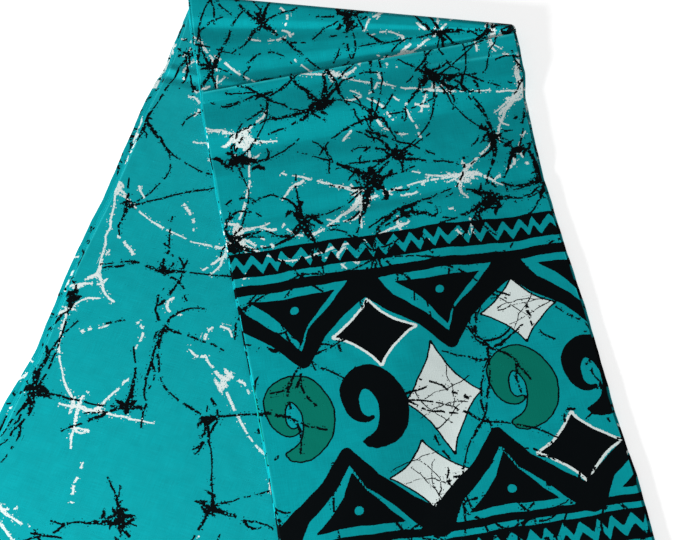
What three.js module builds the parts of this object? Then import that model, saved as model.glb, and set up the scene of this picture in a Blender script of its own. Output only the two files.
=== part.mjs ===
import * as THREE from 'three';

// A length of printed cotton, folded back and forth into a flat strip of
// eight layers, laid on a table and turned over on itself half way along.
// The two legs of the strip fan out below the turn, one lying on the other.
// Millimetres, +Z up, the turned edge towards +Y.

// Cloth and stack
const WALL = 1.0;           // outer layer that shows
const SEAM = 0.35;          // between the outer layer and what it lies on
const STACK = 3.6;          // hidden layers of one leg, pressed flat
const LIPS = 3;             // folds that the hidden layers show at an edge
const LIP_ROUND = 0.45;     // how far a fold's round edge stands out
const LIP_STEPS = 4;        // segments round one fold's edge
const ACROSS = 12;          // segments across the strip

// Turn: the strip's two legs meet in a soft roll
const TURN_TOP = 12.5;      // height of the roll, outer layer included
const TURN_DEPTH = 6.5;     // from the roll's axis out to its edge
const TURN_INNER = 1.6;     // depth of the hollow inside the roll
const TURN_STEPS = 8;
const TURN_WRAP = 135;      // degrees that the outer layer wraps
const TURN_MIDDLE = [8.3, 268.1];

// Legs: directions in degrees from -Y, positive to the right
const OVER_LEAN = 10.0;
const UNDER_LEAN = -18.2;
const OVER_LENGTH = 570;    // from the turn's middle to the cut end
const UNDER_LENGTH = 580;
const UNDER_EDGE = 139.5;   // hidden right edge of the lower leg, folds included
const CLEAR = 20;           // how far past that edge the upper leg stays level
const SETTLE = 24;          // width over which it then drops to the table
const PUFF = 20;            // how far the roll's fullness reaches down a leg

// Upper leg, a row for each fold or change of its edges, from the turn down.
// leftAlong, rightAlong: the row's ends, along the leg from the turn's middle.
// left, right: the outer layer's edges, across from the leg's middle line.
// lip1 to lip3 at each side: how far the hidden folds reach past those edges,
// from the one next to the lower leg to the one under the outer layer.
// rise: added height at the left edge, the middle and the right edge.
const OVER_ROWS = [
  { leftAlong: -35, rightAlong: 49.5, left: -138.0, right: 138.5, leftLips: [1.0, 1.4, 1.2], rightLips: [0.5, 0.6, 1.2], rise: [0.0, 0.0, 0.0], steps: 0 },
  { leftAlong: -14, rightAlong: 50.6, left: -139.2, right: 138.2, leftLips: [0.8, 2.0, 1.2], rightLips: [0.5, 0.5, 1.2], rise: [0.2, 0.0, -0.5], steps: 3 },
  { leftAlong: -4, rightAlong: 51.2, left: -139.8, right: 138.0, leftLips: [0.6, 2.6, 1.3], rightLips: [0.4, 0.5, 1.4], rise: [-1.0, -0.5, -1.3], steps: 2 },
  { leftAlong: 18, rightAlong: 52.0, left: -140.6, right: 137.8, leftLips: [0.4, 2.8, 1.4], rightLips: [0.3, 0.5, 1.6], rise: [0.5, 0.1, -2.0], steps: 3 },
  { leftAlong: 50, rightAlong: 52.8, left: -141.6, right: 137.6, leftLips: [0.2, 3.0, 1.5], rightLips: [0.2, 0.4, 1.8], rise: [-0.6, -1.2, -2.3], steps: 4 },
  { leftAlong: 69.4, rightAlong: 53.6, left: -142.2, right: 137.4, leftLips: [0.2, 3.0, 1.5], rightLips: [0.2, 0.4, 2.0], rise: [-0.4, -0.9, -2.2], steps: 2 },
  { leftAlong: 71.0, rightAlong: 55.4, left: -142.4, right: 137.2, leftLips: [0.2, 3.0, 1.5], rightLips: [0.2, 0.4, 2.0], rise: [0.9, 1.2, 1.4], steps: 1 },
  { leftAlong: 84, rightAlong: 70, left: -143.6, right: 136.8, leftLips: [0.0, 3.0, 1.6], rightLips: [0.2, 0.4, 1.9], rise: [0.2, 0.3, 0.8], steps: 2 },
  { leftAlong: 118, rightAlong: 99, left: -144.0, right: 136.0, leftLips: [0.0, 3.0, 1.6], rightLips: [0.2, 0.4, 1.8], rise: [0.3, 1.6, 0.6], steps: 4 },
  { leftAlong: 139, rightAlong: 127, left: -144.0, right: 131.0, leftLips: [0.0, 3.0, 1.6], rightLips: [0.2, 0.4, 1.8], rise: [-0.6, -1.0, 0.2], steps: 4 },
  { leftAlong: 160, rightAlong: 152, left: -143.6, right: 129.3, leftLips: [0.0, 3.0, 1.6], rightLips: [0.2, 0.4, 1.8], rise: [0.2, 0.3, -0.4], steps: 3 },
  { leftAlong: 196, rightAlong: 190, left: -143.8, right: 128.6, leftLips: [0.0, 3.0, 1.6], rightLips: [0.2, 0.4, 1.8], rise: [0.0, -0.6, 0.9], steps: 3 },
  { leftAlong: 214, rightAlong: 212, left: -143.6, right: 128.6, leftLips: [0.0, 3.0, 1.6], rightLips: [0.2, 0.4, 1.8], rise: [0.0, 0.6, 0.2], steps: 2 },
  { leftAlong: 240, rightAlong: 238, left: -143.2, right: 129.0, leftLips: [0.0, 3.0, 1.5], rightLips: [0.2, 0.4, 1.8], rise: [0.0, 0.0, 0.0], steps: 2 },
  { leftAlong: 307, rightAlong: 300, left: -142.6, right: 131.2, leftLips: [0.0, 3.0, 1.5], rightLips: [0.2, 0.4, 1.8], rise: [0.0, 0.2, 0.3], steps: 3 },
  { leftAlong: 359, rightAlong: 353, left: -141.8, right: 133.4, leftLips: [0.0, 3.0, 1.5], rightLips: [0.2, 0.4, 1.8], rise: [0.1, 0.0, -0.2], steps: 2 },
  { leftAlong: 424, rightAlong: 420, left: -141.4, right: 133.2, leftLips: [0.0, 3.0, 1.5], rightLips: [0.2, 0.4, 1.8], rise: [0.0, 0.1, 0.2], steps: 3 },
  { leftAlong: 500, rightAlong: 500, left: -142.1, right: 136.6, leftLips: [0.0, 3.0, 1.5], rightLips: [0.2, 0.4, 1.8], rise: [0.0, 0.0, 0.0], steps: 3 },
  { leftAlong: OVER_LENGTH, rightAlong: OVER_LENGTH, left: -142.0, right: 137.0, leftLips: [0.0, 3.0, 1.5], rightLips: [0.2, 0.4, 1.8], rise: [0.0, 0.0, 0.0], steps: 3 },
];

// Lower leg, read the same way. Its lips go from the one under its outer
// layer to the one on the table.
const UNDER_ROWS = [
  { leftAlong: 35, rightAlong: -24, left: -136.5, right: 137.5, leftLips: [1.0, 1.4, 1.2], rightLips: [0.5, 0.6, 1.2], rise: [0.0, 0.0, 0.0], steps: 0 },
  { leftAlong: 76, rightAlong: 40, left: -131.4, right: 137.5, leftLips: [2.0, 3.8, 5.6], rightLips: [0.5, 0.8, 1.5], rise: [0.0, 0.0, 0.0], steps: 3 },
  { leftAlong: 103, rightAlong: 90, left: -128.2, right: 137.0, leftLips: [2.2, 4.6, 7.0], rightLips: [0.5, 0.8, 1.5], rise: [0.0, 0.0, 0.0], steps: 2 },
  { leftAlong: 110, rightAlong: 108, left: -127.2, right: 137.0, leftLips: [2.2, 4.8, 7.8], rightLips: [0.5, 0.8, 1.5], rise: [0.9, 0.0, 0.0], steps: 2 },
  { leftAlong: 117.5, rightAlong: 116, left: -127.0, right: 137.0, leftLips: [2.2, 5.0, 9.0], rightLips: [0.5, 0.8, 1.5], rise: [-0.6, 0.0, 0.0], steps: 2 },
  { leftAlong: 126, rightAlong: 125, left: -126.9, right: 137.0, leftLips: [2.2, 5.2, 10.0], rightLips: [0.5, 0.8, 1.5], rise: [0.4, 0.0, 0.0], steps: 2 },
  { leftAlong: 148, rightAlong: 146, left: -126.5, right: 137.0, leftLips: [2.2, 5.2, 12.0], rightLips: [0.5, 0.8, 1.5], rise: [0.0, 0.0, 0.0], steps: 2 },
  { leftAlong: 198, rightAlong: 198, left: -123.8, right: 137.0, leftLips: [2.2, 5.0, 12.9], rightLips: [0.5, 0.8, 1.5], rise: [0.1, 0.0, 0.0], steps: 3 },
  { leftAlong: 257, rightAlong: 257, left: -122.4, right: 137.0, leftLips: [2.2, 5.0, 13.1], rightLips: [0.5, 0.8, 1.5], rise: [0.0, 0.1, 0.0], steps: 2 },
  { leftAlong: 288, rightAlong: 288, left: -123.2, right: 137.0, leftLips: [2.4, 5.2, 13.0], rightLips: [0.5, 0.8, 1.5], rise: [-0.3, 0.0, 0.0], steps: 2 },
  { leftAlong: 328, rightAlong: 328, left: -123.2, right: 137.0, leftLips: [2.2, 5.0, 13.4], rightLips: [0.5, 0.8, 1.5], rise: [0.3, 0.1, 0.0], steps: 2 },
  { leftAlong: 364, rightAlong: 364, left: -122.4, right: 137.0, leftLips: [2.2, 5.0, 11.8], rightLips: [0.5, 0.8, 1.5], rise: [0.0, 0.0, 0.0], steps: 1 },
  { leftAlong: 409, rightAlong: 409, left: -121.2, right: 137.0, leftLips: [2.2, 5.0, 11.6], rightLips: [0.5, 0.8, 1.5], rise: [0.0, 0.0, 0.0], steps: 1 },
  { leftAlong: 468, rightAlong: 468, left: -123.6, right: 137.0, leftLips: [2.2, 5.0, 14.0], rightLips: [0.5, 0.8, 1.5], rise: [0.0, 0.0, 0.0], steps: 2 },
  { leftAlong: UNDER_LENGTH, rightAlong: UNDER_LENGTH, left: -124.0, right: 137.0, leftLips: [2.2, 5.0, 13.0], rightLips: [0.5, 0.8, 1.5], rise: [0.0, 0.0, 0.0], steps: 3 },
];

const mix = (a, b, f) => a + (b - a) * f;
const smooth = (f) => { const g = Math.min(1, Math.max(0, f)); return g * g * (3 - 2 * g); };

// A leg's own plan coordinates, along and across, to the table's x and y
function legFrame(lean) {
  const r = THREE.MathUtils.degToRad(lean);
  const down = [Math.sin(r), -Math.cos(r)];
  const side = [Math.cos(r), Math.sin(r)];
  return {
    place: (along, across) => [
      TURN_MIDDLE[0] + down[0] * along + side[0] * across,
      TURN_MIDDLE[1] + down[1] * along + side[1] * across,
    ],
    read: (x, y) => {
      const dx = x - TURN_MIDDLE[0], dy = y - TURN_MIDDLE[1];
      return [dx * down[0] + dy * down[1], dx * side[0] + dy * side[1]];
    },
  };
}
const over = legFrame(OVER_LEAN);
const under = legFrame(UNDER_LEAN);

// Rows of a table, with the steps between them filled in
function spread(table) {
  const rows = [{ ...table[0] }];
  for (let i = 1; i < table.length; i++) {
    const a = table[i - 1], b = table[i];
    for (let k = 1; k <= b.steps; k++) {
      const f = k / b.steps;
      const g = b.steps > 1 ? smooth(f) * 0.6 + f * 0.4 : 1;
      rows.push({
        leftAlong: mix(a.leftAlong, b.leftAlong, f),
        rightAlong: mix(a.rightAlong, b.rightAlong, f),
        left: mix(a.left, b.left, g),
        right: mix(a.right, b.right, g),
        leftLips: a.leftLips.map((v, n) => mix(v, b.leftLips[n], g)),
        rightLips: a.rightLips.map((v, n) => mix(v, b.rightLips[n], g)),
        rise: a.rise.map((v, n) => mix(v, b.rise[n], g)),
      });
    }
  }
  return rows;
}
const overRows = spread(OVER_ROWS);
const underRows = spread(UNDER_ROWS);

// Height added to a row's outer layer at a place across it, 0 left to 1 right
function riseAt(row, f) {
  const g = Math.min(1, Math.max(0, f));
  const [l, m, r] = row.rise;
  return g < 0.5 ? mix(l, m, smooth(g * 2)) : mix(m, r, smooth(g * 2 - 1));
}

// Added height of the lower leg's outer layer at any point of the table
function underRise(x, y) {
  const [along, across] = under.read(x, y);
  for (let i = 1; i < underRows.length; i++) {
    const a = underRows[i - 1], b = underRows[i];
    const f = (across - b.left) / (b.right - b.left);
    const far = mix(b.leftAlong, b.rightAlong, f);
    if (along <= far) {
      const near = mix(a.leftAlong, a.rightAlong, f);
      const g = Math.min(1, Math.max(0, (along - near) / (far - near)));
      return mix(riseAt(a, f), riseAt(b, f), g);
    }
  }
  return 0;
}

// The same, as the stiffer upper leg bridges it
function bridgedRise(x, y) {
  const near = [-12, -8, -4, 0, 4, 8, 12].map((d) => underRise(x, y + d));
  return Math.max(0, ...near);
}

// How far a point lies to the right of where the upper leg leaves the lower
function pastUnder(x, y) {
  return under.read(x, y)[1] - (UNDER_EDGE + CLEAR);
}

const UNDER_TOP = STACK + SEAM + WALL;
const ROLL_TOP = TURN_TOP - SEAM - WALL;      // roll without its outer layer
const ROLL_HOLLOW = ROLL_TOP - 2 * STACK;     // height of the hollow inside it
const ROLL_LIFT = STACK + ROLL_HOLLOW - (UNDER_TOP + SEAM);

// Underside of the upper leg's hidden layers: on the lower leg, then down to
// the table beside it, and lifted next to the roll
function overFloor(x, y, fromTurn) {
  const rest = (UNDER_TOP + SEAM + bridgedRise(x, y)) * (1 - smooth(pastUnder(x, y) / SETTLE));
  return Math.max(0, rest + ROLL_LIFT * Math.exp(-((Math.max(0, fromTurn) / PUFF) ** 2)));
}

// One point of a leg: f across (0 to 1) or past an edge by out, h through it
function overPoint(row, f, out, h) {
  const width = row.right - row.left;
  const g = f + out / width;
  const [x, y] = over.place(mix(row.leftAlong, row.rightAlong, g), mix(row.left, row.right, g));
  const first = overRows[0];
  const spine = mix(first.leftAlong, first.rightAlong, g);
  const fromTurn = mix(row.leftAlong, row.rightAlong, g) - spine;
  const low = overFloor(x, y, fromTurn);
  const high = low + STACK + riseAt(row, g);
  return [x, y, h <= 1 ? mix(low, high, h) : high + (h - 1)];
}
function underPoint(row, f, out, h) {
  const width = row.right - row.left;
  const g = f + out / width;
  const [x, y] = under.place(mix(row.leftAlong, row.rightAlong, g), mix(row.left, row.right, g));
  const high = STACK + riseAt(row, g);
  return [x, y, h <= 1 ? high * (1 - h) : high + (h - 1)];
}

// One point of the roll: angle from its top round to the table
const overSpine = overRows[0], underSpine = underRows[0];
function turnPoint(angle, f, out, h) {
  const t = THREE.MathUtils.degToRad(angle);
  const a = overPoint(overSpine, f, out, 1), b = underPoint(underSpine, f, out, 1);
  const x = mix(a[0], b[0], angle / 180), y = mix(a[1], b[1], angle / 180);
  const l = overPoint(overSpine, 0, 0, 1), r = overPoint(overSpine, 1, 0, 1);
  const w = Math.hypot(r[0] - l[0], r[1] - l[1]);
  const outward = [-(r[1] - l[1]) / w, (r[0] - l[0]) / w];
  const extra = Math.max(0, h - 1), k = Math.min(1, h);
  const depth = mix(TURN_INNER, TURN_DEPTH - SEAM - WALL, k) + extra;
  const height = mix(ROLL_HOLLOW / 2, ROLL_TOP / 2, k) + extra;
  const s = Math.sin(t), c = Math.cos(t);
  return [x + outward[0] * depth * s, y + outward[1] * depth * s, ROLL_TOP / 2 + height * c];
}

// Closed body from rings of equal size, with a cap at each end. Its faces are
// halved the same way on both sides, so that layers lie evenly on each other.
function loft(rings, capRows, downFirst) {
  const n = rings[0].length;
  const flat = rings.flat();
  const index = [];
  for (let i = 0; i + 1 < rings.length; i++) {
    for (let j = 0; j < n; j++) {
      const a = i * n + j, b = i * n + (j + 1) % n, c = a + n, d = b + n;
      if ((j < n / 2 - 1) === downFirst) index.push(a, b, d, a, d, c);
      else index.push(a, b, c, b, d, c);
    }
  }
  const last = (rings.length - 1) * n;
  for (const [a, b, c] of capRows) {
    index.push(c, b, a);
    index.push(last + a, last + b, last + c);
  }
  const positions = new Float32Array(flat.length * 3);
  flat.forEach((p, i) => positions.set(p, i * 3));
  return { positions, index };
}

// Section of the hidden layers: across the inner side, round the folds at the
// right edge, back across the outer side, round the folds at the left edge
const SIDE = LIPS * LIP_STEPS;
function stackRing(point, row) {
  const ring = [];
  for (let i = 0; i <= ACROSS; i++) ring.push(point(i / ACROSS, 0, 0));
  for (let k = 0; k <= SIDE; k++) ring.push(point(1, lipOut(row.rightLips, k), k / SIDE));
  for (let i = ACROSS; i >= 0; i--) ring.push(point(i / ACROSS, 0, 1));
  for (let k = SIDE; k >= 0; k--) ring.push(point(0, -lipOut(row.leftLips, k), k / SIDE));
  return ring;
}
// How far the edge stands out at step k of the side, a round for each fold
function lipOut(lips, k) {
  const lip = Math.min(LIPS - 1, Math.floor(k / LIP_STEPS));
  const f = k / LIP_STEPS - lip;
  const dip = Math.min(lips[lip], lips[Math.max(0, lip - 1)]) - 0.6;
  return Math.max(0.2, f === 0 || f === 1 ? dip : lips[lip] + LIP_ROUND * Math.sin(Math.PI * f));
}
// Triangles of the stack's two cut ends, strip by strip across
function stackCap() {
  const tris = [];
  const right = ACROSS + 1, outer = right + SIDE + 1, left = outer + ACROSS + 1;
  for (let i = 0; i < ACROSS; i++) {
    const a = i, b = i + 1, c = outer + ACROSS - i, d = c - 1;
    tris.push([a, b, c], [b, d, c]);
  }
  for (let k = 0; k <= SIDE; k++) {
    tris.push([ACROSS, right + k, k < SIDE ? right + k + 1 : outer]);
    tris.push([0, k === 0 ? outer + ACROSS : left + k - 1, left + k]);
  }
  return tris;
}

// Section of an outer layer: underside, rounded right edge, top, left edge
function sheetRing(point) {
  const ring = [];
  for (let i = 0; i <= ACROSS; i++) ring.push(point(i / ACROSS, 0, 1 + SEAM));
  ring.push(point(1, WALL * 0.4, 1 + SEAM + WALL / 2));
  for (let i = 0; i <= ACROSS; i++) ring.push(point(1 - i / ACROSS, 0, 1 + SEAM + WALL));
  ring.push(point(0, -WALL * 0.4, 1 + SEAM + WALL / 2));
  return ring;
}
function sheetCap() {
  const tris = [];
  const top = ACROSS + 2, count = 2 * ACROSS + 4;
  for (let i = 0; i < ACROSS; i++) {
    const a = i, b = i + 1, c = top + ACROSS - i, d = c - 1;
    tris.push([a, b, c], [b, d, c]);
  }
  tris.push([ACROSS, ACROSS + 1, top], [0, top + ACROSS, count - 1]);
  return tris;
}

// The hidden layers run up one leg, round the roll and down the other
const stackRings = [];
for (let i = underRows.length - 1; i > 0; i--) {
  stackRings.push(stackRing((f, out, h) => underPoint(underRows[i], f, out, h), underRows[i]));
}
for (let k = TURN_STEPS; k >= 0; k--) {
  const angle = (180 * k) / TURN_STEPS;
  stackRings.push(stackRing((f, out, h) => turnPoint(angle, f, out, h), overSpine));
}
for (let i = 1; i < overRows.length; i++) {
  stackRings.push(stackRing((f, out, h) => overPoint(overRows[i], f, out, h), overRows[i]));
}
// The upper leg's outer layer goes on round the roll, almost to the table
const overRings = [];
for (let k = TURN_STEPS; k > 0; k--) {
  overRings.push(sheetRing((f, out, h) => turnPoint((TURN_WRAP * k) / TURN_STEPS, f, out, h)));
}
for (const row of overRows) overRings.push(sheetRing((f, out, h) => overPoint(row, f, out, h)));
// The lower leg's outer layer runs up into the roll's hollow
const underRings = [sheetRing((f, out, h) => {
  const a = underPoint(underRows[0], f, out, h), b = underPoint(underRows[1], f, out, h);
  return a.map((v, n) => mix(v, b[n], 0.1));
})];
for (let i = 1; i < underRows.length; i++) {
  underRings.push(sheetRing((f, out, h) => underPoint(underRows[i], f, out, h)));
}

const parts = [
  { name: 'hidden_layers', shape: loft(stackRings, stackCap(), true), color: 0x0b7f85 },
  { name: 'lower_leg_face', shape: loft(underRings, sheetCap(), false), color: 0x10a6ab },
  { name: 'upper_leg_face', shape: loft(overRings, sheetCap(), true), color: 0x0f979c },
];

// Stand the part on the table with its box centred on the origin
const box = new THREE.Box3();
for (const { shape } of parts) {
  for (let i = 0; i < shape.positions.length; i += 3) {
    box.expandByPoint(new THREE.Vector3(shape.positions[i], shape.positions[i + 1], shape.positions[i + 2]));
  }
}
const middle = box.getCenter(new THREE.Vector3());

const group = new THREE.Group();
group.name = 'folded_wax_print_cotton';
for (const { name, shape, color } of parts) {
  const geometry = new THREE.BufferGeometry();
  for (let i = 0; i < shape.positions.length; i += 3) {
    shape.positions[i] -= middle.x;
    shape.positions[i + 1] -= middle.y;
    shape.positions[i + 2] -= box.min.z;
  }
  geometry.setAttribute('position', new THREE.BufferAttribute(shape.positions, 3));
  geometry.setIndex(shape.index);
  geometry.computeVertexNormals();
  const mesh = new THREE.Mesh(
    geometry,
    new THREE.MeshStandardMaterial({ color, roughness: 0.8, side: THREE.DoubleSide }),
  );
  mesh.name = name;
  group.add(mesh);
}

export default group;
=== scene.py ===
import math

import bpy
import numpy as np
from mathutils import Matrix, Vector


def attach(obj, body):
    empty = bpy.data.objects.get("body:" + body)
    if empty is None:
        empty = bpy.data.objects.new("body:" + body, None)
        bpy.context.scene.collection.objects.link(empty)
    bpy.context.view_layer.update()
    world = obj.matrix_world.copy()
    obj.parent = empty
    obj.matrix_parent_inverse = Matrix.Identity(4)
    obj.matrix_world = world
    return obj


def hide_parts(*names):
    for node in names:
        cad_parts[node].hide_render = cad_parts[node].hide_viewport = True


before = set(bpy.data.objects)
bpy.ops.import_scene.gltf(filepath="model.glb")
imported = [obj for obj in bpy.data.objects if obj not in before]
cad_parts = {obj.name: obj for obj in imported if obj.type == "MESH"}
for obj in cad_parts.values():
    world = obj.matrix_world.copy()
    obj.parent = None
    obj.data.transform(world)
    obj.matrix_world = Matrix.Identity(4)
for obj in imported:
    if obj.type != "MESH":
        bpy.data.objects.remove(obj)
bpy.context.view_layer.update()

bpy.ops.object.select_all(action="DESELECT")

# The hidden layers: seven layers of printed cotton under what shows, folded
# back and forth into a strip, laid down and turned over half way along. Only
# their folds show, a round edge for each pair of layers, stepped at the left.
TURN_MIDDLE = (37.807, 288.991)   # middle of the turned edge, in millimetres
OVER_LEAN, UNDER_LEAN = 10.0, -18.2   # the legs' directions, degrees from -Y
OVER_LENGTH, UNDER_LENGTH = 570.0, 580.0
CLOTH = 0.4           # the outer layer with the air under it
STACK = 4.55          # the hidden layers of one leg
LAYERS = 7            # how many they are
REST_GAP = 0.35       # between the two legs
UNDER_TOP = STACK + CLOTH
TURN_TOP, TURN_DEPTH, TURN_INNER = 12.5, 6.5, 1.6
UNDER_EDGE = 139.5    # right edge of the lower leg, folds included
CLEAR, SETTLE = 2.0, 72.0   # where the upper leg comes down beside the lower
PUFF = 20.0           # how far the roll's fullness reaches down a leg
ROLL_TOP = TURN_TOP - CLOTH
ROLL_HOLLOW = ROLL_TOP - 2 * STACK
ROLL_LIFT = STACK + ROLL_HOLLOW - (UNDER_TOP + REST_GAP)
TUCK_AT = 69.4        # left end of the tuck's lip, along the upper leg

# A row for each fold or change of the edges, from the turn down. Columns: the
# row's left and right ends along the leg, its edges across the leg, how far
# the three hidden folds reach past each edge, and the height that is added at
# the left edge, the middle and the right edge.
OVER_FOLDS = [
    (-35, 49.5, -138.0, 138.5, (1.0, 1.4, 1.2), (0.5, 0.6, 1.2), (0.0, 0.0, 0.0)),
    (-14, 50.6, -139.2, 138.2, (0.8, 2.0, 1.2), (0.5, 0.5, 1.2), (0.5, 0.2, -0.5)),
    (-3, 51.2, -139.8, 138.0, (0.6, 2.1, 1.1), (0.4, 0.5, 1.4), (-1.5, -1.0, -1.3)),
    (20, 52.0, -140.6, 137.8, (0.4, 2.0, 1.0), (0.3, 0.5, 1.6), (0.8, 0.4, -2.0)),
    (36, 52.4, -141.1, 137.7, (0.3, 1.4, 0.7), (0.2, 0.5, 1.7), (0.9, 0.3, -2.2)),
    (54, 52.9, -141.7, 137.6, (0.2, 1.1, 0.5), (0.2, 0.4, 1.8), (-1.4, -1.9, -2.6)),
    (TUCK_AT, 53.6, -142.2, 137.4, (0.2, 1.1, 0.5), (0.2, 0.4, 1.8), (-0.1, -0.5, -1.8)),
    (84, 70, -143.6, 136.8, (0.1, 0.8, 0.3), (0.2, 0.4, 1.8), (0.2, 0.5, 0.8)),
    (116, 96, -144.0, 136.0, (0.1, 0.8, 0.3), (0.2, 0.4, 1.8), (2.6, 3.0, 1.5)),
    (139, 124, -144.0, 131.0, (0.1, 0.8, 0.3), (0.2, 0.4, 1.8), (-1.4, -1.9, -1.0)),
    (161, 152, -143.6, 129.3, (0.1, 0.8, 0.3), (0.2, 0.4, 1.8), (0.4, 0.5, 0.2)),
    (196, 188, -143.8, 128.6, (0.1, 0.8, 0.3), (0.2, 0.4, 1.8), (0.1, 0.6, 1.0)),
    (209, 204, -143.6, 128.6, (0.1, 0.8, 0.3), (0.2, 0.4, 1.8), (-0.2, -0.8, -0.5)),
    (219, 215, -143.5, 128.7, (0.1, 0.8, 0.3), (0.2, 0.4, 1.8), (0.1, 0.4, 0.3)),
    (240, 238, -143.2, 129.0, (0.1, 0.8, 0.2), (0.2, 0.4, 1.8), (0.0, 0.0, 0.0)),
    (307, 300, -142.6, 131.2, (0.1, 0.8, 0.2), (0.2, 0.4, 1.8), (0.0, 0.3, 0.4)),
    (359, 353, -141.8, 133.4, (0.1, 0.8, 0.2), (0.2, 0.4, 1.8), (0.2, 0.0, -0.3)),
    (424, 420, -141.4, 133.2, (0.1, 0.8, 0.2), (0.2, 0.4, 1.8), (0.0, 0.2, 0.3)),
    (500, 500, -142.1, 136.6, (0.1, 0.8, 0.2), (0.2, 0.4, 1.8), (0.0, 0.0, 0.0)),
    (OVER_LENGTH, OVER_LENGTH, -142.0, 137.0, (0.1, 0.8, 0.2), (0.2, 0.4, 1.8), (0, 0, 0)),
]
UNDER_FOLDS = [
    (35, -24, -136.5, 137.5, (1.0, 1.4, 1.2), (0.5, 0.6, 1.2), (0.0, 0.0, 0.0)),
    (76, 40, -131.4, 137.5, (2.0, 3.8, 5.6), (0.5, 0.8, 1.5), (0.0, 0.0, 0.0)),
    (103, 90, -129.4, 137.0, (1.6, 3.6, 5.8), (0.5, 0.8, 1.5), (0.0, 0.0, 0.0)),
    (110, 108, -129.2, 137.0, (1.4, 3.4, 5.8), (0.5, 0.8, 1.5), (0.9, 0.0, 0.0)),
    (117.5, 116, -129.4, 137.0, (1.4, 3.4, 6.6), (0.5, 0.8, 1.5), (-0.6, 0.0, 0.0)),
    (126, 125, -129.9, 137.0, (1.4, 3.4, 7.0), (0.5, 0.8, 1.5), (0.4, 0.0, 0.0)),
    (148, 146, -130.7, 137.0, (1.4, 3.6, 7.8), (0.5, 0.8, 1.5), (0.0, 0.0, 0.0)),
    (198, 198, -128.8, 137.0, (1.3, 3.4, 7.9), (0.5, 0.8, 1.5), (0.1, 0.0, 0.0)),
    (257, 257, -127.6, 137.0, (1.3, 3.4, 7.9), (0.5, 0.8, 1.5), (0.0, 0.1, 0.0)),
    (288, 288, -128.6, 137.0, (1.3, 3.4, 7.6), (0.5, 0.8, 1.5), (-0.3, 0.0, 0.0)),
    (328, 328, -128.8, 137.0, (1.3, 3.4, 7.8), (0.5, 0.8, 1.5), (0.3, 0.1, 0.0)),
    (364, 364, -127.2, 137.0, (1.3, 3.4, 7.0), (0.5, 0.8, 1.5), (0.0, 0.0, 0.0)),
    (409, 409, -125.2, 137.0, (1.6, 3.8, 7.6), (0.5, 0.8, 1.5), (0.0, 0.0, 0.0)),
    (468, 468, -127.6, 137.0, (1.8, 4.2, 10.0), (0.5, 0.8, 1.5), (0.0, 0.0, 0.0)),
    (UNDER_LENGTH, UNDER_LENGTH, -127.6, 137.0, (1.8, 4.2, 9.4), (0.5, 0.8, 1.5), (0, 0, 0)),
]


def soft_step(f):
    """0 to 1 with a soft start and end."""
    g = np.clip(f, 0.0, 1.0)
    return g * g * (3 - 2 * g)


def place(lean, along, across):
    """Along and across a leg, in millimetres, to x and y."""
    r = math.radians(lean)
    return (TURN_MIDDLE[0] + math.sin(r) * along + math.cos(r) * across,
            TURN_MIDDLE[1] - math.cos(r) * along + math.sin(r) * across)


def read(lean, x, y):
    """x and y to along and across a leg."""
    r = math.radians(lean)
    dx, dy = x - TURN_MIDDLE[0], y - TURN_MIDDLE[1]
    return math.sin(r) * dx - math.cos(r) * dy, math.cos(r) * dx + math.sin(r) * dy


def spread(folds, step):
    """Rows of a table with rows between them, no further apart than step."""
    rows = [np.hstack(folds[0])]
    for a, b in zip(folds, folds[1:]):
        a, b = np.hstack(a).astype(float), np.hstack(b).astype(float)
        count = max(1, math.ceil(max(abs(b[0] - a[0]), abs(b[1] - a[1])) / step))
        for k in range(1, count + 1):
            f = k / count
            g = 0.6 * soft_step(f) + 0.4 * f
            rows.append(np.concatenate([a[:2] + (b - a)[:2] * f, a[2:] + (b - a)[2:] * g]))
    return np.array(rows)


def rise_at(rise, f):
    """Added height across a row: rise is left, middle, right, f is 0 to 1."""
    g = np.clip(f, 0, 1)
    left = rise[..., 0] + (rise[..., 1] - rise[..., 0]) * soft_step(g * 2)
    right = rise[..., 1] + (rise[..., 2] - rise[..., 1]) * soft_step(g * 2 - 1)
    return np.where(g < 0.5, left, right)


def wobble(s, seed, lengths=(83.0, 37.0, 15.0), heights=(0.5, 0.35, 0.15)):
    """A smooth, irregular value along s, about -1 to 1."""
    rng = np.random.default_rng(seed)
    return sum(h * np.sin(2 * np.pi * s / n + rng.uniform(0, 6.28))
               for n, h in zip(lengths, heights))


def under_rise(x, y):
    """Height of the small fold across the lower leg, where the upper lies."""
    along, across = read(UNDER_LEAN, x, y)
    f = (across + 127) / 264
    crest = 0.9 * np.exp(-((along - 110) / 5) ** 2) + 0.4 * np.exp(-((along - 126) / 6) ** 2)
    return crest * (1 - soft_step(f * 2))


def over_floor(x, y, from_turn):
    """Underside of the upper leg: on the lower leg, then on the table."""
    past = read(UNDER_LEAN, x, y)[1] - (UNDER_EDGE + CLEAR)
    lie = (UNDER_TOP + REST_GAP + under_rise(x, y)) * (1 - soft_step(past / SETTLE))
    lift = ROLL_LIFT * np.exp(-(np.maximum(0, from_turn) / PUFF) ** 2)
    return np.maximum(0, lie + lift)


SPINE = np.hstack(OVER_FOLDS[0]).astype(float)
UNDER_SPINE = np.hstack(UNDER_FOLDS[0]).astype(float)


def over_points(row, across, through, lift=0.0):
    """Points of one row of the upper leg. through is 0 under, 1 on top."""
    f = (across - row[2]) / (row[3] - row[2])
    along = row[0] + (row[1] - row[0]) * f
    x, y = place(OVER_LEAN, along, across)
    low = over_floor(x, y, along - (SPINE[0] + (SPINE[1] - SPINE[0]) * f))
    high = low + STACK + rise_at(row[None, -3:], f)
    return np.stack([x, y, low + (high - low) * through + lift], -1)


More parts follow.
